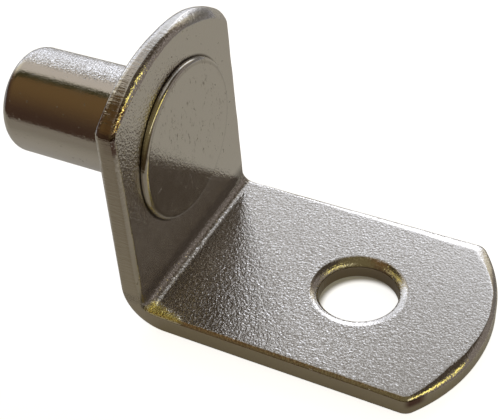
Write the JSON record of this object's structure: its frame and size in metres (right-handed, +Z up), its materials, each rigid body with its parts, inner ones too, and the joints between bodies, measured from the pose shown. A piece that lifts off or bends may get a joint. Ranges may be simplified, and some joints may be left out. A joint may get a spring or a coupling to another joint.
{
  "type": "shelf support pin",
  "caption": "Right-angle shelf support pin: a bent steel strip with a round peg riveted through its upright plate and a screw hole in the leg under the shelf.",
  "frame": {"origin": "on the peg's axis, in the back face of the upright plate, where the peg's shoulder meets it", "axes": "-X along the peg into the cabinet side, +X along the leg under the shelf, +Y across the strip, +Z up"},
  "size_m": [0.0286, 0.0126, 0.0158],
  "materials": {
    "plated_strip": "satin nickel plate on stamped strip, edges tumbled bright",
    "plated_peg": "bright nickel plate on turned steel"
  },
  "bodies": {
    "root": {"angle_plate": "plated_strip", "peg": "plated_peg"}
  },
  "joints": []
}
